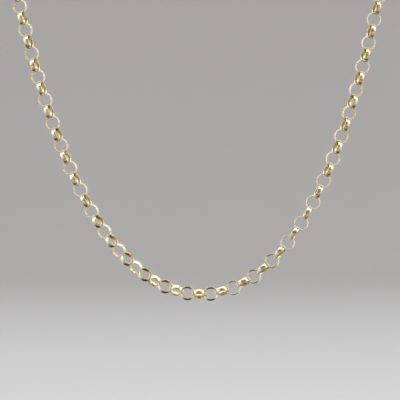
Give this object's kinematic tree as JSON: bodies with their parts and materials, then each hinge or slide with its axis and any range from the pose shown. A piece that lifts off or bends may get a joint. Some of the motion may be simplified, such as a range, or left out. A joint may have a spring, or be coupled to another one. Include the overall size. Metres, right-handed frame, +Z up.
{
  "type": "rolo chain necklace",
  "caption": "Necklace of round domed-band rolo links in polished yellow gold, fastened in a closed loop and stored as it hangs round a neck.",
  "frame": {"origin": "where the necklace hangs: on the inner side of the clasp, in the middle of the nape", "axes": "+Z up as worn, -Y towards the front where the chain hangs, +X to the right as seen from the front"},
  "size_m": [0.1077, 0.0898, 0.1282],
  "materials": {
    "gold": "polished"
  },
  "bodies": {
    "root": {"chain_left": "gold", "chain_right": "gold", "clasp": "gold"}
  },
  "joints": []
}
